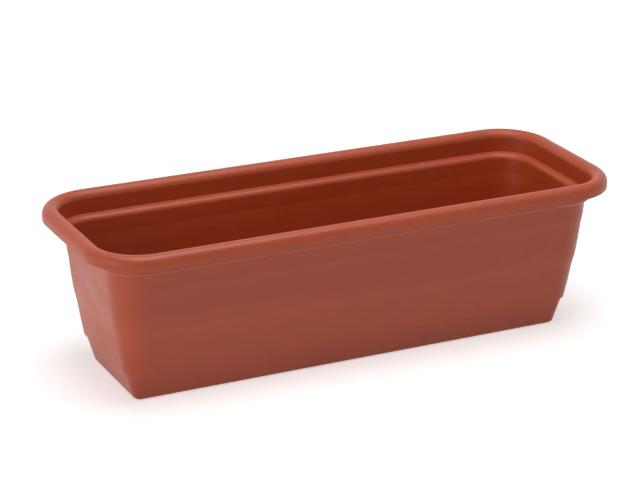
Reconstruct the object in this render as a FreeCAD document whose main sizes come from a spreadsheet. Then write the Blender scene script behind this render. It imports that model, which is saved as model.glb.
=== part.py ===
"""Window box planter, 600 mm: a moulded trough that stands in its own drip tray.

Frame: millimetres, +Z up, +X along the box, the front is -Y, and the origin is the middle of
the footprint on the surface that the tray stands on.

Both pieces are thin shells with one wall section carried round a rounded rectangle. A point of
a section is given by its inset, the distance in from the rim's outermost edge, and its height.
"""
import FreeCAD, Part
import math
import os
import re
import Sketcher

# ---------------------------------------------------------------- driving dimensions, mm
SIZES = {
    # plan of the rim, which every wall follows
    "rim_length": 600.0,
    "rim_width": 221.4,
    "inner_corner_radius": 5.4,
    # rolled rim: half round crown, then a straight skirt that hides the top of the wall
    "overall_height": 175.6,
    "rim_roll_width": 17.8,
    "rim_wall": 2.0,
    "rim_haunch": 4.5,
    "skirt_drop": 14.4,
    # collar under the roll and the ledge below it, on which a second box nests
    "trough_wall": 2.2,
    "collar_lean": 0.4,
    "ledge_drop": 24.6,
    "ledge_fall": 0.5,
    "ledge_edge_radius": 4.0,
    "ledge_root_chamfer": 1.9,
    "collar_chamfer": 3.1,
    # three leaning tiers with two softer steps between them
    "wall_top_inset": 23.0,
    "tier_one_drop": 18.2,
    "tier_one_lean": 1.35,
    "step_one_drop": 12.0,
    "step_one_lean": 1.95,
    "tier_two_drop": 34.5,
    "tier_two_lean": 4.25,
    "step_two_drop": 14.0,
    "step_two_lean": 3.25,
    "tier_three_lean": 6.95,
    "tier_blend_radius": 25.0,
    # shoulder above the tray and the foot that drops into it
    "shoulder_wall": 2.2,
    "trough_floor": 2.4,
    # drain holes in the trough's floor
    "drain_bore": 10.0,
    "drain_columns": 4,
    "drain_row_spacing": 62.0,
    "drain_end_margin": 68.0,
    # drip tray
    "tray_height": 31.5,
    "tray_step": 2.1,
    "tray_wall": 1.8,
    "tray_floor": 1.8,
    "tray_flare": 17.0,
    "tray_foot_radius": 3.0,
    # standing ring under the tray, which holds its edge and its base clear of the ground
    "tray_foot_lift": 1.4,
    "tray_ring_setback": 3.4,
    "tray_ring_width": 3.0,
    # bars in the tray that hold the trough above the drained water
    "bar_height": 8.0,
    "bar_width": 5.0,
    "bar_count": 5,
    "bar_water_gap": 9.0,
    "bar_end_margin": 52.0,
    # fits between the two pieces
    "seam_clearance": 0.4,
    "foot_clearance": 0.5,
    "seat_clearance": 0.3,
    # how far the parts of one moulding run into each other before they are joined
    "floor_web": 2.0,
    "floor_lap": 0.8,
}

doc = FreeCAD.newDocument("WindowBoxPlanter")
sheet = doc.addObject("Spreadsheet::Sheet", "Sizes")
for row, (alias, number) in enumerate(SIZES.items(), start=1):
    sheet.set("A%d" % row, alias)
    sheet.set("B%d" % row, str(number))
    sheet.setAlias("B%d" % row, alias)
doc.recompute()


def formula(text):
    """A formula in plain size names, as an expression that reads the sheet."""
    return re.sub(r"[a-z_]+", lambda m: "Sizes." + m.group() if m.group() in SIZES else m.group(), text)


def value(text):
    """The number that a formula gives now."""
    return float(sheet.evalExpression(formula(text)))


# ---------------------------------------------------------------- shared formulas
HALF_LENGTH = "(rim_length / 2)"
ROLL_CENTRE_Z = "(overall_height - rim_roll_width / 2)"
SKIRT_EDGE_Z = "(overall_height - skirt_drop)"

LEDGE_Z = "(overall_height - ledge_drop)"
LEDGE_INSET = "(rim_roll_width + collar_lean)"
UNDER_LEDGE_Z = "(overall_height - ledge_drop - trough_wall)"

TRAY_TAPER = "tan(tray_flare * 1 deg)"
SHOULDER_Z = "(tray_height + seam_clearance)"
TRAY_FLOOR_Z = "(tray_foot_lift + tray_floor)"
FOOT_Z = "(%s + bar_height + seat_clearance)" % TRAY_FLOOR_Z
FLOOR_Z = "(%s + trough_floor)" % FOOT_Z

TIER_ONE = ("(wall_top_inset + tier_one_lean)", "(%s - tier_one_drop)" % UNDER_LEDGE_Z)
STEP_ONE = ("(%s + step_one_lean)" % TIER_ONE[0], "(%s - step_one_drop)" % TIER_ONE[1])
TIER_TWO = ("(%s + tier_two_lean)" % STEP_ONE[0], "(%s - tier_two_drop)" % STEP_ONE[1])
STEP_TWO = ("(%s + step_two_lean)" % TIER_TWO[0], "(%s - step_two_drop)" % TIER_TWO[1])
SHOULDER_INSET = "(%s + tier_three_lean)" % STEP_TWO[0]

TRAY_TOP_INSET = "(%s + tray_step)" % SHOULDER_INSET
TRAY_WALL_ACROSS = "(tray_wall / cos(tray_flare * 1 deg))"
FOOT_TOP_INSET = "(%s + %s + foot_clearance)" % (TRAY_TOP_INSET, TRAY_WALL_ACROSS)


def tray_inset(z):
    """Inset of the tray's outer face at a height."""
    return "(%s + (tray_height - %s) * %s)" % (TRAY_TOP_INSET, z, TRAY_TAPER)


def foot_inset(z):
    """Inset of the outer face of the trough's foot, which follows the tray's wall, at a height."""
    return "(%s + (tray_height - %s) * %s)" % (FOOT_TOP_INSET, z, TRAY_TAPER)


FLOOR_INSET = "(%s + trough_wall)" % foot_inset(FLOOR_Z)
TRAY_FLOOR_INSET = "(%s + %s)" % (tray_inset(TRAY_FLOOR_Z), TRAY_WALL_ACROSS)
TRAY_RING_INSET = "(%s + tray_ring_setback)" % tray_inset("tray_foot_lift")

# every corner in plan has the same centre, so the deepest wall sets the radius of the rim
CORNER_RADIUS = "(inner_corner_radius + %s)" % TRAY_FLOOR_INSET


# ---------------------------------------------------------------- sketch helpers
def plane(body, role):
    """One of a body's own origin planes."""
    return next(f for f in body.Origin.OriginFeatures if f.Role == role)


def new_sketch(body, name, role, lift=None):
    """A sketch on an origin plane of its body, raised by a formula where one is given."""
    sketch = body.newObject("Sketcher::SketchObject", name)
    sketch.AttachmentSupport = [(plane(body, role), "")]
    sketch.MapMode = "FlatFace"
    if lift:
        sketch.setExpression(".AttachmentOffset.Base.z", formula(lift))
    return sketch


def arc_between(start, end, centre, anticlockwise):
    """The arc from a start to an end, with the vertex numbers that its start and end have."""
    circle = Part.Circle(centre, FreeCAD.Vector(0, 0, 1), centre.distanceToPoint(start))
    if anticlockwise:
        return Part.ArcOfCircle(circle, circle.parameter(start), circle.parameter(end)), 1, 2
    return Part.ArcOfCircle(circle, circle.parameter(end), circle.parameter(start)), 2, 1


def turns_left(start, end, centre):
    """Whether the short way round a centre from a start to an end is anticlockwise."""
    return (start - centre).cross(end - centre).z > 0


class Corner:
    """A corner of an outline: x and y formulas (None is on that axis), a rounding, and whether
    the side that leaves it is a half circle on a level centre. The outline runs anticlockwise."""

    def __init__(self, x, y, rounding=None, half_round=False):
        self.x, self.y, self.rounding, self.half_round = x, y, rounding, half_round
        self.point = FreeCAD.Vector(value(x) if x else 0.0, value(y) if y else 0.0, 0)
        self.radius = value(rounding) if rounding else 0.0


def draw_outline(sketch, corners):
    """Draw a closed outline with every corner, rounding and half round held by the sheet."""
    count = len(corners)
    ends = []
    for i, corner in enumerate(corners):
        before, after = corners[i - 1], corners[(i + 1) % count]
        back = (before.point - corner.point).normalize()
        ahead = (after.point - corner.point).normalize()
        half = back.getAngle(ahead) / 2
        reach = corner.radius / math.tan(half)
        middle = corner.point
        if corner.radius:
            middle = corner.point + (back + ahead).normalize() * (corner.radius / math.sin(half))
        ends.append((corner.point + back * reach, corner.point + ahead * reach, middle))

    sides = []
    for i, corner in enumerate(corners):
        start, end = ends[i][1], ends[(i + 1) % count][0]
        if corner.half_round:
            arc, first, last = arc_between(start, end, (start + end) * 0.5, True)
            sides.append((sketch.addGeometry(arc, False), first, last))
        else:
            sides.append((sketch.addGeometry(Part.LineSegment(start, end), False), 1, 2))

    rules = []

    def rule(*terms, text=None):
        """Note a constraint, and the formula that drives it where it has one."""
        rules.append((Sketcher.Constraint(*terms), text))

    def hold(kind, axis, place, text, number):
        """Hold one coordinate of a vertex by a formula, or on the axis where there is none."""
        if text is None:
            rule("PointOnObject", place[0], place[1], axis)
        else:
            rule(kind, -1, 1, place[0], place[1], number, text=text)

    for i, corner in enumerate(corners):
        before, side = sides[i - 1], sides[i]
        if corner.rounding:
            arc, first, last = arc_between(*ends[i], turns_left(*ends[i]))
            arc = sketch.addGeometry(arc, False)
            point = sketch.addGeometry(Part.Point(corner.point), True)
            rule("Tangent", before[0], before[2], arc, first)
            rule("Tangent", arc, last, side[0], side[1])
            rule("Radius", arc, corner.radius, text=corner.rounding)
            rule("PointOnObject", point, 1, before[0])
            rule("PointOnObject", point, 1, side[0])
            place = (point, 1)
        else:
            rule("Coincident", before[0], before[2], side[0], side[1])
            place = side[:2]
        hold("DistanceX", -2, place, corner.x, corner.point.x)
        hold("DistanceY", -1, place, corner.y, corner.point.y)
        if corner.half_round:
            hold("DistanceY", -1, (side[0], 3), corner.y, corner.point.y)
    apply_rules(sketch, rules)


def apply_rules(sketch, rules):
    """Add constraints in one step, then tie each one that has a formula to the sheet."""
    indices = sketch.addConstraint([constraint for constraint, text in rules])
    for index, (constraint, text) in zip(indices, rules):
        if text:
            sketch.setExpression("Constraints[%d]" % index, formula(text))


def at(inset, z, **shape):
    """A section corner given by its inset from the rim's edge and its height."""
    return Corner("%s - %s" % (HALF_LENGTH, inset), z, **shape)


def plan_corners(inset="0", radius=CORNER_RADIUS, start_on_axis=False):
    """Corners of the rounded rectangle that lies this far inside the rim's edge."""
    long_half = "rim_length / 2 - %s" % inset
    short_half = "rim_width / 2 - %s" % inset
    corners = [Corner(long_half, short_half, radius),
               Corner("-(%s)" % long_half, short_half, radius),
               Corner("-(%s)" % long_half, "-(%s)" % short_half, radius),
               Corner(long_half, "-(%s)" % short_half, radius)]
    return [Corner(long_half, None)] + corners if start_on_axis else corners


# ---------------------------------------------------------------- feature helpers
def new_body(label):
    body = doc.addObject("PartDesign::Body", label.title().replace("_", ""))
    body.Label = label
    return body


def sweep_wall(body, name, corners):
    """Carry a wall section round the plan of the rim."""
    path = new_sketch(body, name + "Path", "XY_Plane")
    draw_outline(path, plan_corners(start_on_axis=True))
    section = new_sketch(body, name + "Section", "XZ_Plane")
    draw_outline(section, corners)
    doc.recompute()
    pipe = body.newObject("PartDesign::AdditivePipe", name)
    pipe.Profile = section
    pipe.Spine = (path, [])
    pipe.Mode = "Standard"
    doc.recompute()
    return pipe


def pad_floor(body, name, web, z, thickness):
    """A floor plate that closes a swept wall, lapped onto the web at the wall's foot."""
    inset = "(%s - floor_lap)" % web
    sketch = new_sketch(body, name + "Plan", "XY_Plane", z)
    draw_outline(sketch, plan_corners(inset, "%s - %s" % (CORNER_RADIUS, inset)))
    pad = body.newObject("PartDesign::Pad", name)
    pad.Profile = sketch
    pad.setExpression("Length", formula(thickness))
    doc.recompute()
    return pad


def repeat_along_box(body, feature, sketch, count, pitch):
    """Repeat a feature along +X at a pitch."""
    pattern = body.newObject("PartDesign::LinearPattern", feature.Name + "Row")
    pattern.Originals = [feature]
    pattern.Direction = (sketch, ["H_Axis"])
    pattern.setExpression("Occurrences", formula(count))
    pattern.setExpression("Length", formula("(%s) * (%s - 1)" % (pitch, count)))
    body.Tip = pattern
    doc.recompute()
    return pattern


# ---------------------------------------------------------------- trough
def inner(inset):
    """Inset of the inner face of the trough's wall behind an outer one."""
    return "(%s + trough_wall)" % inset


def make_trough():
    """The box itself: rolled rim, nesting ledge, three tiers, shoulder, foot and drained floor."""
    body = new_body("trough")
    shoulder_top = "(%s + shoulder_wall)" % SHOULDER_Z
    under_crown_z = "(overall_height - rim_wall)"
    web = "(%s + floor_web)" % FLOOR_INSET

    rolled_rim = [
        at("0", SKIRT_EDGE_Z),
        at("0", ROLL_CENTRE_Z, half_round=True),
        at("rim_roll_width", ROLL_CENTRE_Z),
    ]
    inside = [
        at(LEDGE_INSET, "%s + ledge_root_chamfer" % LEDGE_Z),
        at("(%s + ledge_root_chamfer)" % LEDGE_INSET, LEDGE_Z),
        at(inner("wall_top_inset"), "%s - ledge_fall" % LEDGE_Z, rounding="ledge_edge_radius"),
        at(inner(TIER_ONE[0]), TIER_ONE[1]),
        at(inner(STEP_ONE[0]), STEP_ONE[1]),
        at(inner(TIER_TWO[0]), TIER_TWO[1]),
        at(inner(STEP_TWO[0]), STEP_TWO[1]),
        at(inner(SHOULDER_INSET), shoulder_top),
        at(inner(foot_inset(shoulder_top)), shoulder_top),
        at(FLOOR_INSET, FLOOR_Z),
        at(web, FLOOR_Z),
    ]
    outside = [
        at(web, FOOT_Z),
        at(foot_inset(FOOT_Z), FOOT_Z),
        at(foot_inset(SHOULDER_Z), SHOULDER_Z),
        at(SHOULDER_INSET, SHOULDER_Z),
        at(STEP_TWO[0], STEP_TWO[1]),
        at(TIER_TWO[0], TIER_TWO[1], rounding="tier_blend_radius"),
        at(STEP_ONE[0], STEP_ONE[1]),
        at(TIER_ONE[0], TIER_ONE[1], rounding="tier_blend_radius"),
        at("wall_top_inset", "%s - ledge_fall" % UNDER_LEDGE_Z),
        at("(%s - trough_wall + collar_chamfer)" % LEDGE_INSET, UNDER_LEDGE_Z),
        at("(%s - trough_wall)" % LEDGE_INSET, "%s + collar_chamfer" % UNDER_LEDGE_Z),
    ]
    under_roll = [
        at("(rim_roll_width - rim_wall)", "%s - rim_haunch" % under_crown_z),
        at("(rim_roll_width - rim_wall - rim_haunch)", under_crown_z),
        at("(rim_wall + rim_haunch)", under_crown_z),
        at("rim_wall", "%s - rim_haunch" % under_crown_z),
        at("rim_wall", SKIRT_EDGE_Z),
    ]
    sweep_wall(body, "TroughWall", rolled_rim + inside + outside + under_roll)
    pad_floor(body, "TroughFloor", web, FOOT_Z, "trough_floor")
    drill_drains(body)
    return body


def drill_drains(body):
    """Two rows of drain holes along the floor."""
    end = "(rim_length / 2 - %s - drain_end_margin)" % FLOOR_INSET
    sketch = new_sketch(body, "DrainPlan", "XY_Plane", FLOOR_Z)
    rules = []
    for row in ("-drain_row_spacing / 2", "drain_row_spacing / 2"):
        centre = FreeCAD.Vector(value("-" + end), value(row), 0)
        radius = value("drain_bore / 2")
        hole = sketch.addGeometry(Part.Circle(centre, FreeCAD.Vector(0, 0, 1), radius), False)
        rules.append((Sketcher.Constraint("DistanceX", -1, 1, hole, 3, centre.x), "-" + end))
        rules.append((Sketcher.Constraint("DistanceY", -1, 1, hole, 3, centre.y), row))
        rules.append((Sketcher.Constraint("Radius", hole, radius), "drain_bore / 2"))
    apply_rules(sketch, rules)
    drains = body.newObject("PartDesign::Pocket", "Drains")
    drains.Profile = sketch
    drains.Type = "ThroughAll"
    doc.recompute()
    repeat_along_box(body, drains, sketch, "drain_columns", "2 * %s / (drain_columns - 1)" % end)


# ---------------------------------------------------------------- drip tray
def make_tray():
    """The tray under the foot: a flared wall, a floor lifted on a standing ring, and bars across."""
    body = new_body("drip_tray")
    web = "(%s + tray_ring_width / 2)" % TRAY_RING_INSET
    section = [
        at(TRAY_RING_INSET, None),
        at(TRAY_RING_INSET, "tray_foot_lift"),
        at(tray_inset("tray_foot_lift"), "tray_foot_lift", rounding="tray_foot_radius"),
        at(TRAY_TOP_INSET, "tray_height"),
        at("(%s + %s)" % (TRAY_TOP_INSET, TRAY_WALL_ACROSS), "tray_height"),
        at(TRAY_FLOOR_INSET, TRAY_FLOOR_Z),
        at(web, TRAY_FLOOR_Z),
        at(web, None),
    ]
    sweep_wall(body, "TrayWall", section)
    pad_floor(body, "TrayFloor", web, "0", TRAY_FLOOR_Z)
    recess_base(body)
    add_bars(body)
    return body


def recess_base(body):
    """Hollow the base up inside its standing ring."""
    inset = "(%s + tray_ring_width)" % TRAY_RING_INSET
    sketch = new_sketch(body, "BasePlan", "XY_Plane")
    draw_outline(sketch, plan_corners(inset, "inner_corner_radius"))
    recess = body.newObject("PartDesign::Pocket", "BaseRecess")
    recess.Profile = sketch
    recess.Reversed = True
    recess.setExpression("Length", formula("tray_foot_lift"))
    doc.recompute()


def add_bars(body):
    """Bars across the tray on which the trough's floor rests, clear of the walls for the water."""
    end = "(rim_length / 2 - %s - bar_end_margin)" % TRAY_FLOOR_INSET
    reach = "(rim_width / 2 - %s - bar_water_gap)" % TRAY_FLOOR_INSET
    sketch = new_sketch(body, "BarPlan", "XY_Plane", "%s - floor_lap" % TRAY_FLOOR_Z)
    near, far = "-%s + bar_width / 2" % end, "-%s - bar_width / 2" % end
    corners = [Corner(near, reach), Corner(far, reach), Corner(far, "-" + reach), Corner(near, "-" + reach)]
    draw_outline(sketch, corners)
    bar = body.newObject("PartDesign::Pad", "Bar")
    bar.Profile = sketch
    bar.setExpression("Length", formula("bar_height + floor_lap"))
    doc.recompute()
    repeat_along_box(body, bar, sketch, "bar_count", "2 * %s / (bar_count - 1)" % end)


# ---------------------------------------------------------------- build, check and write
PIECES = [make_trough(), make_tray()]
doc.recompute()

for thing in doc.Objects:
    if "Invalid" in thing.State or "Error" in thing.State:
        raise RuntimeError("%s did not build: %s" % (thing.Name, thing.State))
for piece in PIECES:
    shape = piece.Shape
    if shape.isNull() or not shape.isValid() or len(shape.Solids) != 1:
        raise RuntimeError("%s is not one sound solid" % piece.Label)

os.makedirs("parts", exist_ok=True)
for piece in PIECES:
    piece.Shape.exportStep(os.path.join("parts", piece.Label + ".step"))
    print("%s: %.0f mm3" % (piece.Label, piece.Shape.Volume))
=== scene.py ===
import math

import bmesh
import bpy
from bpy.props import FloatProperty, FloatVectorProperty, IntProperty, PointerProperty
from mathutils import Matrix, Vector


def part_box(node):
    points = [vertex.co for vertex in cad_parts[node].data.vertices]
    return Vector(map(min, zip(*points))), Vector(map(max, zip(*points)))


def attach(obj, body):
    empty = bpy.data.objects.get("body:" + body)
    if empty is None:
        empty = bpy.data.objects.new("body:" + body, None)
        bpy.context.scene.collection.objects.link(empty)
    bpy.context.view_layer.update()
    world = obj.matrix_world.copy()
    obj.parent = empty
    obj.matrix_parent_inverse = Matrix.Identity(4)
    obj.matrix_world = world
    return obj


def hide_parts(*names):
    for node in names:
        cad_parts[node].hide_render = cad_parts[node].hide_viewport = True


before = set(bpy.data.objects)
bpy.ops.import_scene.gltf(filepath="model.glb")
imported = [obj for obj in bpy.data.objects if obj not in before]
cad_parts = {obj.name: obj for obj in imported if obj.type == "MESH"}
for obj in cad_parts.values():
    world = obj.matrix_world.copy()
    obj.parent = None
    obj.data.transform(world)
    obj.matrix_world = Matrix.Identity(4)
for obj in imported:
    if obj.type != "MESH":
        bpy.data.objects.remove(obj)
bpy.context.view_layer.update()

bl_info = {
    "name": "Window Box Planter",
    "version": (1, 0, 0),
    "blender": (4, 5, 0),
    "location": "View3D > Sidebar > Planter",
    "description": "Builds a moulded window box and its drip tray, with their studio",
    "category": "Object",
}

TROUGH_LOW, TROUGH_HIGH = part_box("trough")
TRAY_LOW, TRAY_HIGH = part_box("drip_tray")

# Gap between the tray's top edge and the trough's shoulder.
SEAM = 0.0004

MERGE_DISTANCE = 1e-5
LEVEL_TOLERANCE = 1e-5
SMOOTH_ANGLE = math.radians(32)
ARC_STEP = math.radians(10)
FEWEST_ARC_SEGMENTS = 2


# ---------------------------------------------------------------- properties
def length(name, description, default):
    """A size in metres."""
    return FloatProperty(name=name, description=description, default=default, unit="LENGTH",
                         precision=4)


def colour(name, description, default):
    """A colour in linear light."""
    return FloatVectorProperty(name=name, description=description, default=default, subtype="COLOR",
                               size=3, min=0.0, max=1.0)


class RimSizes(bpy.types.PropertyGroup):
    """The plan of the rim, which every wall follows, and the roll round the mouth."""
    half_length: length("Half length", "From the middle to the end of the rim", TROUGH_HIGH.x)
    half_width: length("Half width", "From the middle to the side of the rim", TROUGH_HIGH.y)
    corner_radius: length("Corner radius", "Radius of the rim's corners in plan", 0.05878)
    top: length("Top", "Height of the crown of the rim", TROUGH_HIGH.z)
    roll_width: length("Roll width", "Width of the rolled rim", 0.0178)
    wall: length("Rim wall", "Thickness of the roll and its skirt", 0.002)
    skirt_drop: length("Skirt drop", "From the crown down to the skirt's lower edge", 0.0144)
    skirt_radius: length("Skirt edge radius", "Rounding of the skirt's lower edge", 0.0007)


class TroughSizes(bpy.types.PropertyGroup):
    """The collar and ledge inside the rim, the three tiers, the shoulder and the foot."""
    wall: length("Wall", "Wall thickness of the trough", 0.0022)
    collar_lean: length("Collar lean", "Lean of the collar between the roll and the ledge", 0.0004)
    collar_radius: length("Collar radius", "Rounding below the collar", 0.005)
    ledge_drop: length("Ledge drop", "From the crown down to the nesting ledge", 0.0246)
    ledge_fall: length("Ledge fall", "Fall of the ledge towards the soil", 0.0005)
    ledge_root_radius: length("Ledge root radius", "Rounding where ledge and collar meet", 0.0014)
    ledge_edge_radius: length("Ledge edge radius", "Rounding of the ledge's inner edge", 0.0064)
    wall_top_inset: length("Wall top inset", "Inset of the outer wall just below the ledge", 0.023)
    wall_root_radius: length("Wall root radius", "Rounding where the wall meets the ledge", 0.0016)
    tier_blend_radius: length("Tier blend radius", "Rounding between tiers and steps", 0.025)
    tier_belly: length("Tier belly", "How far the lower two tiers bulge", 0.0003)
    shoulder_z: length("Shoulder height", "Underside of the shoulder, a seam above the tray",
                       TRAY_HIGH.z + SEAM)
    shoulder_radius: length("Shoulder radius", "Rounding of the shoulder's outer edge", 0.0013)
    shoulder_root_radius: length("Shoulder root radius", "Rounding inside the shoulder", 0.001)
    foot_z: length("Foot height", "Underside of the trough's floor", TROUGH_LOW.z)
    floor: length("Floor", "Thickness of the trough's floor", 0.0024)
    foot_radius: length("Foot radius", "Rounding round the foot", 0.0025)
    floor_root_radius: length("Floor root radius", "Rounding where the floor meets the wall", 0.002)
    drain_bore: length("Drain bore", "Diameter of a drain hole", 0.010)
    drain_columns: IntProperty(name="Drain columns", description="Drain holes in each row",
                               default=4, min=2)
    drain_row_spacing: length("Drain row spacing", "Between the two rows of drain holes", 0.062)
    drain_end_margin: length("Drain end margin", "From the wall to the first drain hole", 0.068)


class TraySizes(bpy.types.PropertyGroup):
    """The flared drip tray, its standing ring and its bars."""
    height: length("Height", "Height of the tray", TRAY_HIGH.z)
    step: length("Step", "How far the tray stands in from the shoulder", 0.0021)
    wall: length("Wall", "Thickness of the tray's wall, square to it", 0.0018)
    flare: FloatProperty(name="Flare", description="Flare of the wall from upright", subtype="ANGLE",
                         default=math.radians(17))
    floor_z: length("Floor height", "Top of the tray's floor", 0.0032)
    top_radius: length("Top radius", "Rounding of the top edge", 0.0007)
    foot_radius: length("Foot radius", "Rounding round the tray's lower edge", 0.003)
    root_radius: length("Root radius", "Rounding between the wall and the floor", 0.002)
    foot_lift: length("Foot lift", "How far the ring lifts the tray's edge and base", 0.0014)
    ring_setback: length("Ring setback", "How far the ring is set in from the edge", 0.0034)
    ring_width: length("Ring width", "Width of the standing ring", 0.003)
    ring_radius: length("Ring radius", "Rounding of the standing ring's edges", 0.0003)
    foot_clearance: length("Foot clearance", "Between tray wall and trough foot", 0.0005)
    bar_height: length("Bar height", "Height of the bars that carry the trough", 0.008)
    bar_width: length("Bar width", "Width of a bar", 0.005)
    bar_radius: length("Bar radius", "Rounding along the top of a bar", 0.0006)
    bar_count: IntProperty(name="Bars", description="Bars across the tray", default=5, min=2)
    bar_water_gap: length("Bar water gap", "Gap between a bar's end and the wall", 0.009)
    bar_end_margin: length("Bar end margin", "From the wall to the first bar", 0.052)


class PlasticFinish(bpy.types.PropertyGroup):
    """Colours and gloss of the moulded plastic."""
    pigment: colour("Pigment", "Main colour", (0.41, 0.058, 0.0145))
    pale_pigment: colour("Pale pigment", "Colour of the paler flow marks", (0.44, 0.066, 0.0185))
    # The tray's two colours are the trough's terracotta made darker and bluer: painted shade and a
    # painted reflection of the white floor on the downward-leaning tray band.
    tray_pigment_painted_shade: colour("Tray pigment", "Main colour of the tray", (0.385, 0.058, 0.0165))
    tray_pale_pigment_painted_shade: colour("Pale tray pigment", "Colour of the tray's flow marks",
                              (0.415, 0.066, 0.0205))
    roughness: FloatProperty(name="Roughness", description="Roughness between flow marks",
                             default=0.36)
    roughness_swing: FloatProperty(name="Roughness swing", description="Change over a flow mark",
                                   default=0.08)


class StudioLook(bpy.types.PropertyGroup):
    """Camera, sky and floor."""
    lens: FloatProperty(name="Lens", description="Focal length", default=135.2, unit="CAMERA")
    distance: length("Distance", "From the camera to the origin, along the view", 2.5934)
    yaw: FloatProperty(name="Yaw", description="Heading from +Y", subtype="ANGLE",
                       default=math.radians(26.622))
    pitch: FloatProperty(name="Pitch", description="How far it looks down", subtype="ANGLE",
                         default=math.radians(21.0))
    roll: FloatProperty(name="Roll", description="Tilt of the horizon", subtype="ANGLE",
                        default=math.radians(0.805))
    slide_right: length("Slide right", "How far the origin lies right of the view's axis", 0.00938)
    slide_up: length("Slide up", "How far the origin lies above the view's axis", -0.10861)
    room: FloatProperty(name="Room", description="Even light from all round", default=0.06)
    backdrop: FloatProperty(name="Backdrop", description="Light from low behind and to the left",
                            default=1.75)
    floor_white: FloatProperty(name="Floor white", description="How much light the floor returns",
                               default=0.90)
    table_glow: FloatProperty(name="Table glow", description="Light that the floor gives off",
                              default=0.12)
    near_lift: FloatProperty(name="Near lift", description="Whitening of the floor by the planter",
                             default=0.55)
    far_lift: FloatProperty(name="Far lift", description="Whitening of the floor far off",
                            default=1.0)


def sizes():
    """All the planter's sizes."""
    scene = bpy.context.scene
    return scene.planter_rim, scene.planter_trough, scene.planter_tray


# ---------------------------------------------------------------- sections
def tray_inset(z):
    """Inset of the tray's outer face at a height."""
    tray = sizes()[2]
    return shoulder_inset() + tray.step + (tray.height - z) * math.tan(tray.flare)


def tray_wall_across():
    """Thickness of the tray's wall, measured level."""
    tray = sizes()[2]
    return tray.wall / math.cos(tray.flare)


def foot_inset(z):
    """Inset of the outer face of the trough's foot, which follows the tray's wall."""
    return tray_inset(z) + tray_wall_across() + sizes()[2].foot_clearance


# Tier one, step one, tier two and step two: how far each goes down, and how far it leans in.
TIER_DROPS = (0.0182, 0.0120, 0.0345, 0.0140)
TIER_LEANS = (0.00135, 0.00195, 0.00425, 0.00325)
LAST_TIER_LEAN = 0.00695
# A blend at the end of a bulging side takes some of its length, and the belly gets the rest.
BELLY_SHARE = 0.85
# A section ends this far in along a floor, and a flat plate closes the rest.
FLOOR_WEB = 0.004


def under_ledge_z():
    """Height of the underside of the ledge."""
    rim, trough = sizes()[:2]
    return rim.top - trough.ledge_drop - trough.wall


def tier_corners():
    """Corners of the outer wall between the tiers and the steps, from the top down."""
    inset, z = sizes()[1].wall_top_inset, under_ledge_z()
    corners = []
    for lean, drop in zip(TIER_LEANS, TIER_DROPS):
        inset, z = inset + lean, z - drop
        corners.append((inset, z))
    return corners


def shoulder_inset():
    """Inset of the outer wall at its foot, above the tray."""
    return tier_corners()[-1][0] + LAST_TIER_LEAN


def belly_corner(upper, lower, belly):
    """The corner that rounds a side between two corners out into a belly."""
    half_side = math.dist(upper, lower) / 2
    inset, z = (upper[0] + lower[0]) / 2 - 2 * belly, (upper[1] + lower[1]) / 2
    return inset, z, half_side ** 2 / (2 * belly) * BELLY_SHARE


def tier_run(shift, lowest):
    """The tiers from the top down, shifted in by a wall, with the bellies of the lower two."""
    trough = sizes()[1]
    tier_one, step_one, tier_two, step_two = [(inset + shift, z) for inset, z in tier_corners()]
    blend = trough.tier_blend_radius
    return [
        (*tier_one, blend),
        (*step_one, blend),
        belly_corner(step_one, tier_two, trough.tier_belly),
        (*tier_two, blend),
        (*step_two, blend),
        belly_corner(step_two, lowest, trough.tier_belly),
    ]


def trough_section():
    """The trough's wall from its floor, up the inside, over the rim and down to its foot."""
    rim, trough = sizes()[:2]
    ledge_inset = rim.roll_width + trough.collar_lean
    ledge_z = rim.top - trough.ledge_drop
    roll_centre_z = rim.top - rim.roll_width / 2
    skirt_edge_z = rim.top - rim.skirt_drop
    shoulder_top = trough.shoulder_z + trough.wall
    floor_z = trough.foot_z + trough.floor
    inner_shoulder = (shoulder_inset() + trough.wall, shoulder_top)
    outer_shoulder = (shoulder_inset(), trough.shoulder_z)
    root = trough.shoulder_root_radius

    inside_up = [
        (foot_inset(floor_z) + trough.wall + FLOOR_WEB, floor_z, 0),
        (foot_inset(floor_z) + trough.wall, floor_z, trough.floor_root_radius),
        (foot_inset(shoulder_top) + trough.wall, shoulder_top, root),
        (*inner_shoulder, root),
        *reversed(tier_run(trough.wall, inner_shoulder)),
        (trough.wall_top_inset + trough.wall, ledge_z - trough.ledge_fall,
         trough.ledge_edge_radius),
        (ledge_inset, ledge_z, trough.ledge_root_radius),
        (rim.roll_width, roll_centre_z, 0),
    ]
    roll = rim.roll_width / 2
    over_the_rim = [
        (rim.roll_width, rim.top, roll),
        (0, rim.top, roll),
        (0, skirt_edge_z, rim.skirt_radius),
        (rim.wall, skirt_edge_z, rim.skirt_radius),
        (rim.wall, rim.top - rim.wall, roll - rim.wall),
        (rim.roll_width - rim.wall, rim.top - rim.wall, roll - rim.wall),
        (rim.roll_width - rim.wall, roll_centre_z, 0),
    ]
    outside_down = [
        (ledge_inset - trough.wall, under_ledge_z(), trough.collar_radius),
        (trough.wall_top_inset, under_ledge_z() - trough.ledge_fall, trough.wall_root_radius),
        *tier_run(0, outer_shoulder),
        (*outer_shoulder, trough.shoulder_radius),
        (foot_inset(trough.shoulder_z), trough.shoulder_z, root),
        (foot_inset(trough.foot_z), trough.foot_z, trough.foot_radius),
        (foot_inset(trough.foot_z) + FLOOR_WEB, trough.foot_z, 0),
    ]
    return inside_up + over_the_rim + outside_down


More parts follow.
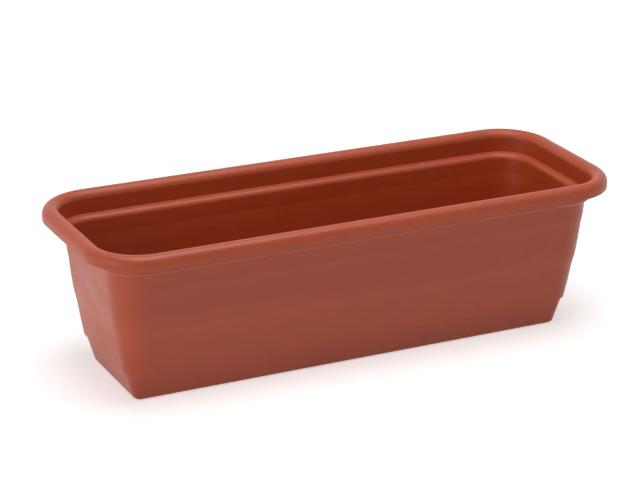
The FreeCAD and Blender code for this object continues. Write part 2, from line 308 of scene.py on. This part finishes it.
def tray_section():
    """The tray's wall from its floor, over the top edge and down to the recess in its base."""
    tray = sizes()[2]
    across = tray_wall_across()
    ring = tray_inset(tray.foot_lift) + tray.ring_setback
    return [
        (tray_inset(tray.floor_z) + across + FLOOR_WEB, tray.floor_z, 0),
        (tray_inset(tray.floor_z) + across, tray.floor_z, tray.root_radius),
        (tray_inset(tray.height) + across, tray.height, tray.top_radius),
        (tray_inset(tray.height), tray.height, tray.top_radius),
        (tray_inset(tray.foot_lift), tray.foot_lift, tray.foot_radius),
        (ring, tray.foot_lift, 0),
        (ring, 0, tray.ring_radius),
        (ring + tray.ring_width, 0, tray.ring_radius),
        (ring + tray.ring_width, tray.foot_lift, 0),
    ]


# ---------------------------------------------------------------- mesh helpers
def round_corner(bm, vert, radius):
    """Round a corner of a wire section to a radius."""
    one, other = (edge.other_vert(vert).co - vert.co for edge in vert.link_edges)
    turn = math.pi - one.angle(other)
    bmesh.ops.bevel(bm, geom=[vert], offset=radius * math.tan(turn / 2), offset_type="OFFSET",
                    segments=max(FEWEST_ARC_SEGMENTS, math.ceil(turn / ARC_STEP)), profile=0.5,
                    affect="VERTICES", clamp_overlap=False, material=-1)


def draw_section(bm, section):
    """Draw a section as wire at the +X end of the box, with its corners rounded."""
    half_length = sizes()[0].half_length
    verts = [bm.verts.new((half_length - inset, 0, z)) for inset, z, radius in section]
    for one, other in zip(verts, verts[1:]):
        bm.edges.new((one, other))
    for vert, (inset, z, radius) in zip(verts, section):
        if radius:
            round_corner(bm, vert, radius)
    bmesh.ops.remove_doubles(bm, verts=bm.verts, dist=MERGE_DISTANCE)


def carry_round(bm, section):
    """Carry a section round a quarter of the rim's plan, and mirror that to the whole."""
    rim = sizes()[0]
    end_run, side_run = rim.half_width - rim.corner_radius, rim.half_length - rim.corner_radius
    centre = (side_run, end_run, 0)
    CORNER_STEPS, END_STEPS, SIDE_STEPS = 20, 2, 8
    draw_section(bm, section)
    geom = bm.verts[:] + bm.edges[:]
    for turn, step, steps in ((0, (0, end_run / END_STEPS, 0), END_STEPS),
                              (math.pi / 2, (0, 0, 0), CORNER_STEPS),
                              (0, (-side_run / SIDE_STEPS, 0, 0), SIDE_STEPS)):
        geom = bmesh.ops.spin(bm, geom=geom, cent=centre, axis=(0, 0, 1), dvec=step, angle=turn,
                              steps=steps, use_merge=False)["geom_last"]
    bmesh.ops.remove_doubles(bm, verts=bm.verts, dist=MERGE_DISTANCE)
    for axis in ("X", "Y"):
        bmesh.ops.mirror(bm, geom=bm.verts[:] + bm.edges[:] + bm.faces[:], matrix=Matrix(),
                         merge_dist=MERGE_DISTANCE, axis=axis)


def draw_down(bm, verts, depth):
    """Draw the outline of a flat ring or plate straight down."""
    edges = dict.fromkeys(edge for vert in verts for edge in vert.link_edges)
    bmesh.ops.spin(bm, geom=[*verts, *edges], axis=(0, 0, 1), dvec=(0, 0, -depth), angle=0,
                   steps=1, use_merge=False)


def open_edges(bm, z):
    """Edges at a level that have a face on one side only."""
    return [edge for edge in bm.edges if len(edge.link_faces) == 1
            and all(abs(vert.co.z - z) < LEVEL_TOLERANCE for vert in edge.verts)]


def fill_level(bm, z):
    """Close everything that is open at a level with one flat plate, round its holes."""
    bmesh.ops.triangle_fill(bm, edges=open_edges(bm, z), use_beauty=True, use_dissolve=False,
                            normal=(0, 0, 1))


def spaced(last, count):
    """Places along the box, evenly from one end place to its mirror image."""
    return [-last + 2 * last * i / (count - 1) for i in range(count)]


def finish_piece(bm, name, node, body, material):
    """Make the shell a piece that stands for a node and rides on its body."""
    bmesh.ops.remove_doubles(bm, verts=bm.verts, dist=MERGE_DISTANCE)
    bmesh.ops.recalc_face_normals(bm, faces=bm.faces)
    for face in bm.faces:
        face.smooth = True
    mesh = bpy.data.meshes.new(name)
    bm.to_mesh(mesh)
    bm.free()
    mesh.set_sharp_from_angle(angle=SMOOTH_ANGLE)
    mesh.materials.append(material)
    piece = bpy.data.objects.new(name, mesh)
    bpy.context.scene.collection.objects.link(piece)
    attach(piece, body)
    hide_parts(node)
    return piece


# ---------------------------------------------------------------- node helpers
def new_group(name, inputs, outputs):
    """An empty shader node group. Inputs are (name, kind, default), outputs are (name, kind)."""
    group = bpy.data.node_groups.new(name, "ShaderNodeTree")
    for label, kind, default in inputs:
        socket = group.interface.new_socket(name=label, in_out="INPUT", socket_type=kind)
        if default is not None:
            socket.default_value = default
    for label, kind in outputs:
        group.interface.new_socket(name=label, in_out="OUTPUT", socket_type=kind)
    return group, group.nodes.new("NodeGroupInput"), group.nodes.new("NodeGroupOutput")


def add_node(tree, kind, values=(), **settings):
    """A node with its settings, and the values of some of its inputs."""
    node = tree.nodes.new(kind)
    for key, setting in settings.items():
        setattr(node, key, setting)
    for key, number in dict(values).items():
        node.inputs[key].default_value = number
    return node


def join(tree, *pairs):
    """Link outputs to inputs."""
    for output, socket in pairs:
        tree.links.new(output, socket)


def flow_marks_group():
    """Long soft marks where the plastic flowed along the mould, from 0 to 1."""
    group, start, end = new_group("Flow marks", [
        ("Vector", "NodeSocketVector", None),
        ("Stretch", "NodeSocketVector", (3.0, 14.0, 26.0)),
        ("Mottle Scale", "NodeSocketFloat", 38.0),
        ("Mottle Share", "NodeSocketFloat", 0.35),
    ], [("Mask", "NodeSocketFloat")])
    stretch = add_node(group, "ShaderNodeVectorMath", operation="MULTIPLY")
    streaks = add_node(group, "ShaderNodeTexNoise", {"Scale": 1.0, "Detail": 3.0, "Roughness": 0.5,
                                                     "Distortion": 0.6})
    mottle = add_node(group, "ShaderNodeTexNoise", {"Detail": 2.0, "Roughness": 0.5})
    blend = add_node(group, "ShaderNodeMix", data_type="FLOAT")
    spread = add_node(group, "ShaderNodeMapRange", {"From Min": 0.36, "From Max": 0.64},
                      interpolation_type="SMOOTHSTEP")
    join(group,
         (start.outputs["Vector"], stretch.inputs[0]),
         (start.outputs["Stretch"], stretch.inputs[1]),
         (stretch.outputs[0], streaks.inputs["Vector"]),
         (start.outputs["Vector"], mottle.inputs["Vector"]),
         (start.outputs["Mottle Scale"], mottle.inputs["Scale"]),
         (start.outputs["Mottle Share"], blend.inputs["Factor"]),
         (streaks.outputs["Fac"], blend.inputs["A"]), (mottle.outputs["Fac"], blend.inputs["B"]),
         (blend.outputs["Result"], spread.inputs["Value"]),
         (spread.outputs["Result"], end.inputs["Mask"]))
    return group


def moulded_grain_group():
    """The fine grain that a spark-eroded mould leaves, as a height."""
    group, start, end = new_group("Moulded grain", [
        ("Vector", "NodeSocketVector", None),
        ("Grain Scale", "NodeSocketFloat", 1500.0),
        ("Ripple Scale", "NodeSocketFloat", 60.0),
        ("Ripple Share", "NodeSocketFloat", 0.5),
    ], [("Height", "NodeSocketFloat")])
    grain = add_node(group, "ShaderNodeTexNoise", {"Detail": 2.0, "Roughness": 0.6})
    ripple = add_node(group, "ShaderNodeTexNoise", {"Detail": 1.0, "Roughness": 0.4})
    blend = add_node(group, "ShaderNodeMix", data_type="FLOAT")
    join(group,
         (start.outputs["Vector"], grain.inputs["Vector"]),
         (start.outputs["Vector"], ripple.inputs["Vector"]),
         (start.outputs["Grain Scale"], grain.inputs["Scale"]),
         (start.outputs["Ripple Scale"], ripple.inputs["Scale"]),
         (start.outputs["Ripple Share"], blend.inputs["Factor"]),
         (grain.outputs["Fac"], blend.inputs["A"]), (ripple.outputs["Fac"], blend.inputs["B"]),
         (blend.outputs["Result"], end.inputs["Height"]))
    return group


def plastic_material(name, pigment, pale_pigment):
    """Satin moulded plastic with soft flow marks and a fine grain."""
    finish = bpy.context.scene.planter_finish
    material = bpy.data.materials.new(name)
    material.use_nodes = True
    tree = material.node_tree
    PLASTIC_IOR, GRAIN_STRENGTH, GRAIN_DEPTH = 1.45, 0.16, 0.0004
    shader = tree.nodes["Principled BSDF"]
    shader.inputs["IOR"].default_value = PLASTIC_IOR
    place = add_node(tree, "ShaderNodeTexCoord")
    marks = add_node(tree, "ShaderNodeGroup", node_tree=bpy.data.node_groups["Flow marks"])
    grain = add_node(tree, "ShaderNodeGroup", node_tree=bpy.data.node_groups["Moulded grain"])
    tint = add_node(tree, "ShaderNodeMix", data_type="RGBA")
    tint.inputs["A"].default_value = (*pigment, 1)
    tint.inputs["B"].default_value = (*pale_pigment, 1)
    gloss = add_node(tree, "ShaderNodeMapRange", {
        "To Min": finish.roughness, "To Max": finish.roughness + finish.roughness_swing})
    bump = add_node(tree, "ShaderNodeBump", {"Strength": GRAIN_STRENGTH, "Distance": GRAIN_DEPTH})
    join(tree,
         (place.outputs["Object"], marks.inputs["Vector"]),
         (place.outputs["Object"], grain.inputs["Vector"]),
         (marks.outputs["Mask"], tint.inputs["Factor"]),
         (marks.outputs["Mask"], gloss.inputs["Value"]),
         (grain.outputs["Height"], bump.inputs["Height"]),
         (tint.outputs["Result"], shader.inputs["Base Color"]),
         (gloss.outputs["Result"], shader.inputs["Roughness"]),
         (bump.outputs["Normal"], shader.inputs["Normal"]))
    return material


# ---------------------------------------------------------------- operators
class PLANTER_OT_plastics(bpy.types.Operator):
    """Make the moulded plastics of the trough and the tray"""
    bl_idname = "planter.plastics"
    bl_label = "Plastics"

    def execute(self, context):
        finish = context.scene.planter_finish
        flow_marks_group()
        moulded_grain_group()
        plastic_material("Terracotta plastic", finish.pigment, finish.pale_pigment)
        # The tray's plastic is the same terracotta with painted shade and a painted floor reflection
        # in its colours.
        plastic_material("Terracotta tray plastic", finish.tray_pigment_painted_shade, finish.tray_pale_pigment_painted_shade)
        return {"FINISHED"}


class PLANTER_OT_trough(bpy.types.Operator):
    """Build the trough with its rolled rim, nesting ledge, tiers, foot and drained floor"""
    bl_idname = "planter.trough"
    bl_label = "Trough"

    def execute(self, context):
        rim, trough = sizes()[:2]
        floor_z = trough.foot_z + trough.floor
        DRAIN_SIDES = 40
        bm = bmesh.new()
        carry_round(bm, trough_section())
        last = rim.half_length - foot_inset(floor_z) - trough.wall - trough.drain_end_margin
        for x in spaced(last, trough.drain_columns):
            for side in (-1, 1):
                place = Matrix.Translation((x, side * trough.drain_row_spacing / 2, floor_z))
                ring = bmesh.ops.create_circle(bm, cap_ends=False, segments=DRAIN_SIDES,
                                               radius=trough.drain_bore / 2, matrix=place)["verts"]
                draw_down(bm, ring, trough.floor)
        fill_level(bm, floor_z)
        fill_level(bm, trough.foot_z)
        material = bpy.data.materials["Terracotta plastic"]
        finish_piece(bm, "trough_moulding", "trough", "trough_body", material)
        return {"FINISHED"}


class PLANTER_OT_drip_tray(bpy.types.Operator):
    """Build the flared drip tray with its standing ring and its bars"""
    bl_idname = "planter.drip_tray"
    bl_label = "Drip tray"

    def execute(self, context):
        rim, _, tray = sizes()
        BAR_BEVEL_STEPS = 3
        bm = bmesh.new()
        carry_round(bm, tray_section())
        floor_inset = tray_inset(tray.floor_z) + tray_wall_across()
        bar_length = 2 * (rim.half_width - floor_inset - tray.bar_water_gap)
        bar_top = tray.floor_z + tray.bar_height
        for x in spaced(rim.half_length - floor_inset - tray.bar_end_margin, tray.bar_count):
            shape = Matrix.LocRotScale((x, 0, bar_top), None, (tray.bar_width, bar_length, 1))
            plate = bmesh.ops.create_grid(bm, x_segments=1, y_segments=1, size=0.5,
                                          matrix=shape)["verts"]
            draw_down(bm, plate, tray.bar_height)
        fill_level(bm, tray.floor_z)
        fill_level(bm, tray.foot_lift)
        top_edges = [edge for edge in bm.edges if len(edge.link_faces) == 2
                     and all(abs(vert.co.z - bar_top) < LEVEL_TOLERANCE for vert in edge.verts)]
        bar_end = bar_length / 2 + MERGE_DISTANCE
        bar_edges = [edge for edge in top_edges if abs(edge.verts[0].co.y) < bar_end]
        bmesh.ops.bevel(bm, geom=bar_edges, offset=tray.bar_radius, segments=BAR_BEVEL_STEPS,
                        profile=0.5, affect="EDGES", material=-1)
        material = bpy.data.materials["Terracotta tray plastic"]
        finish_piece(bm, "drip_tray_moulding", "drip_tray", "tray_body", material)
        return {"FINISHED"}


class PLANTER_OT_studio(bpy.types.Operator):
    """Set out the white floor, the sky, the lamps and the camera"""
    bl_idname = "planter.studio"
    bl_label = "Studio"

    # Each lamp's name, place, size and power in watts. Both face the same target.
    LAMPS = (
        ("Overhead lamp", (0.0, -0.16, 1.9), (1.6, 1.4), 28.5),
        ("Left lamp", (-1.65, -0.4, 0.45), (1.4, 0.8), 5.5),
    )
    LAMP_TARGET = (0, 0, 0.1)

    def execute(self, context):
        look = context.scene.planter_look
        self.lay_floor(look)
        self.light_sky(look)
        for name, place, size, power in self.LAMPS:
            self.add_lamp(name, place, self.LAMP_TARGET, size, power)
        self.place_camera(look)
        context.scene.view_settings.view_transform = "Standard"
        return {"FINISHED"}

    @staticmethod
    def lay_floor(look):
        """A pale floor with a faint glow. The camera and reflections see it whitened instead."""
        FLOOR_HALF = 6.0
        LIFT_FROM, LIFT_TO = 0.30, 2.2
        bm = bmesh.new()
        bmesh.ops.create_grid(bm, x_segments=1, y_segments=1, size=FLOOR_HALF)
        mesh = bpy.data.meshes.new("studio_floor")
        bm.to_mesh(mesh)
        bm.free()
        floor = bpy.data.objects.new("studio_floor", mesh)
        bpy.context.scene.collection.objects.link(floor)
        material = bpy.data.materials.new("Studio floor")
        material.use_nodes = True
        tree = material.node_tree
        tree.nodes.remove(tree.nodes["Principled BSDF"])
        surface = add_node(tree, "ShaderNodeBsdfDiffuse", {"Color": (*[look.floor_white] * 3, 1)})
        place = add_node(tree, "ShaderNodeTexCoord")
        reach = add_node(tree, "ShaderNodeVectorMath", operation="LENGTH")
        lift = add_node(tree, "ShaderNodeMapRange", {
            "From Min": LIFT_FROM, "From Max": LIFT_TO,
            "To Min": look.near_lift, "To Max": look.far_lift}, interpolation_type="SMOOTHSTEP")
        path = add_node(tree, "ShaderNodeLightPath")
        seen = add_node(tree, "ShaderNodeMix", {"B": look.table_glow}, data_type="FLOAT")
        light = add_node(tree, "ShaderNodeEmission")
        total = add_node(tree, "ShaderNodeAddShader")
        join(tree,
             (place.outputs["Object"], reach.inputs[0]),
             (reach.outputs["Value"], lift.inputs["Value"]),
             (path.outputs["Is Diffuse Ray"], seen.inputs["Factor"]),
             (lift.outputs["Result"], seen.inputs["A"]),
             (seen.outputs["Result"], light.inputs["Strength"]),
             (surface.outputs[0], total.inputs[0]), (light.outputs[0], total.inputs[1]),
             (total.outputs[0], tree.nodes["Material Output"].inputs["Surface"]))
        mesh.materials.append(material)

    @staticmethod
    def light_sky(look):
        """Dim even light with a bright band low behind. The camera and reflections see white."""
        BAND_FULL_BELOW, BAND_GONE_ABOVE = 0.05, 0.3
        BAND_HEADING = (-0.6, 0.8, 0.0)
        BAND_STARTS, BAND_FULL_FROM = -0.2, 0.5
        world = bpy.data.worlds.new("Studio sky")
        bpy.context.scene.world = world
        world.use_nodes = True
        tree = world.node_tree
        place = add_node(tree, "ShaderNodeTexCoord")
        height = add_node(tree, "ShaderNodeSeparateXYZ")
        low = add_node(tree, "ShaderNodeMapRange", {
            "From Min": BAND_FULL_BELOW, "From Max": BAND_GONE_ABOVE,
            "To Min": 1.0, "To Max": 0.0}, interpolation_type="SMOOTHSTEP")
        heading = add_node(tree, "ShaderNodeVectorMath", {1: BAND_HEADING}, operation="DOT_PRODUCT")
        behind = add_node(tree, "ShaderNodeMapRange", {
            "From Min": BAND_STARTS, "From Max": BAND_FULL_FROM}, interpolation_type="SMOOTHSTEP")
        both = add_node(tree, "ShaderNodeMath", operation="MULTIPLY")
        sky = add_node(tree, "ShaderNodeMath", {1: look.backdrop, 2: look.room},
                       operation="MULTIPLY_ADD")
        path = add_node(tree, "ShaderNodeLightPath")
        seen = add_node(tree, "ShaderNodeMix", {"A": 1.0}, data_type="FLOAT")
        join(tree,
             (place.outputs["Generated"], height.inputs[0]),
             (height.outputs["Z"], low.inputs["Value"]),
             (place.outputs["Generated"], heading.inputs[0]),
             (heading.outputs["Value"], behind.inputs["Value"]),
             (low.outputs["Result"], both.inputs[0]), (behind.outputs["Result"], both.inputs[1]),
             (both.outputs[0], sky.inputs[0]),
             (path.outputs["Is Diffuse Ray"], seen.inputs["Factor"]),
             (sky.outputs[0], seen.inputs["B"]),
             (seen.outputs["Result"], tree.nodes["Background"].inputs["Strength"]))
        tree.nodes["Background"].inputs["Color"].default_value = (1, 1, 1, 1)

    @staticmethod
    def add_lamp(name, place, target, size, power):
        """A soft rectangular lamp that faces a target."""
        lamp = bpy.data.lights.new(name, "AREA")
        lamp.shape = "RECTANGLE"
        lamp.size, lamp.size_y = size
        lamp.energy = power
        thing = bpy.data.objects.new(name, lamp)
        thing.location = place
        thing.rotation_euler = (Vector(target) - Vector(place)).to_track_quat("-Z", "Y").to_euler()
        bpy.context.scene.collection.objects.link(thing)

    @staticmethod
    def place_camera(look):
        """The camera, aimed by its heading, its tilt down and its roll."""
        forward = Vector((math.sin(look.yaw) * math.cos(look.pitch),
                          math.cos(look.yaw) * math.cos(look.pitch), -math.sin(look.pitch)))
        level = Vector((math.cos(look.yaw), -math.sin(look.yaw), 0))
        upright = level.cross(forward)
        right = math.cos(look.roll) * level + math.sin(look.roll) * upright
        up = math.cos(look.roll) * upright - math.sin(look.roll) * level
        camera = bpy.data.objects.new("Camera", bpy.data.cameras.new("Camera"))
        camera.data.lens = look.lens
        place = -look.slide_right * right - look.slide_up * up - look.distance * forward
        turn = Matrix((right, up, -forward)).transposed()
        camera.matrix_world = Matrix.Translation(place) @ turn.to_4x4()
        bpy.context.scene.collection.objects.link(camera)
        bpy.context.scene.camera = camera


class PLANTER_PT_build(bpy.types.Panel):
    """The planter's pieces and its studio"""
    bl_label = "Window Box Planter"
    bl_idname = "PLANTER_PT_build"
    bl_space_type = "VIEW_3D"
    bl_region_type = "UI"
    bl_category = "Planter"

    def draw(self, context):
        for operator in OPERATORS:
            self.layout.operator(operator.bl_idname)


GROUPS = {
    "planter_rim": RimSizes,
    "planter_trough": TroughSizes,
    "planter_tray": TraySizes,
    "planter_finish": PlasticFinish,
    "planter_look": StudioLook,
}
OPERATORS = (PLANTER_OT_plastics, PLANTER_OT_trough, PLANTER_OT_drip_tray, PLANTER_OT_studio)
CLASSES = (*GROUPS.values(), *OPERATORS, PLANTER_PT_build)


def register():
    for cls in CLASSES:
        bpy.utils.register_class(cls)
    for name, group in GROUPS.items():
        setattr(bpy.types.Scene, name, PointerProperty(type=group))


def unregister():
    for name in GROUPS:
        delattr(bpy.types.Scene, name)
    for cls in reversed(CLASSES):
        bpy.utils.unregister_class(cls)


def main():
    register()
    bpy.ops.planter.plastics()
    bpy.ops.planter.trough()
    bpy.ops.planter.drip_tray()
    bpy.ops.planter.studio()


if __name__ == "__main__":
    main()
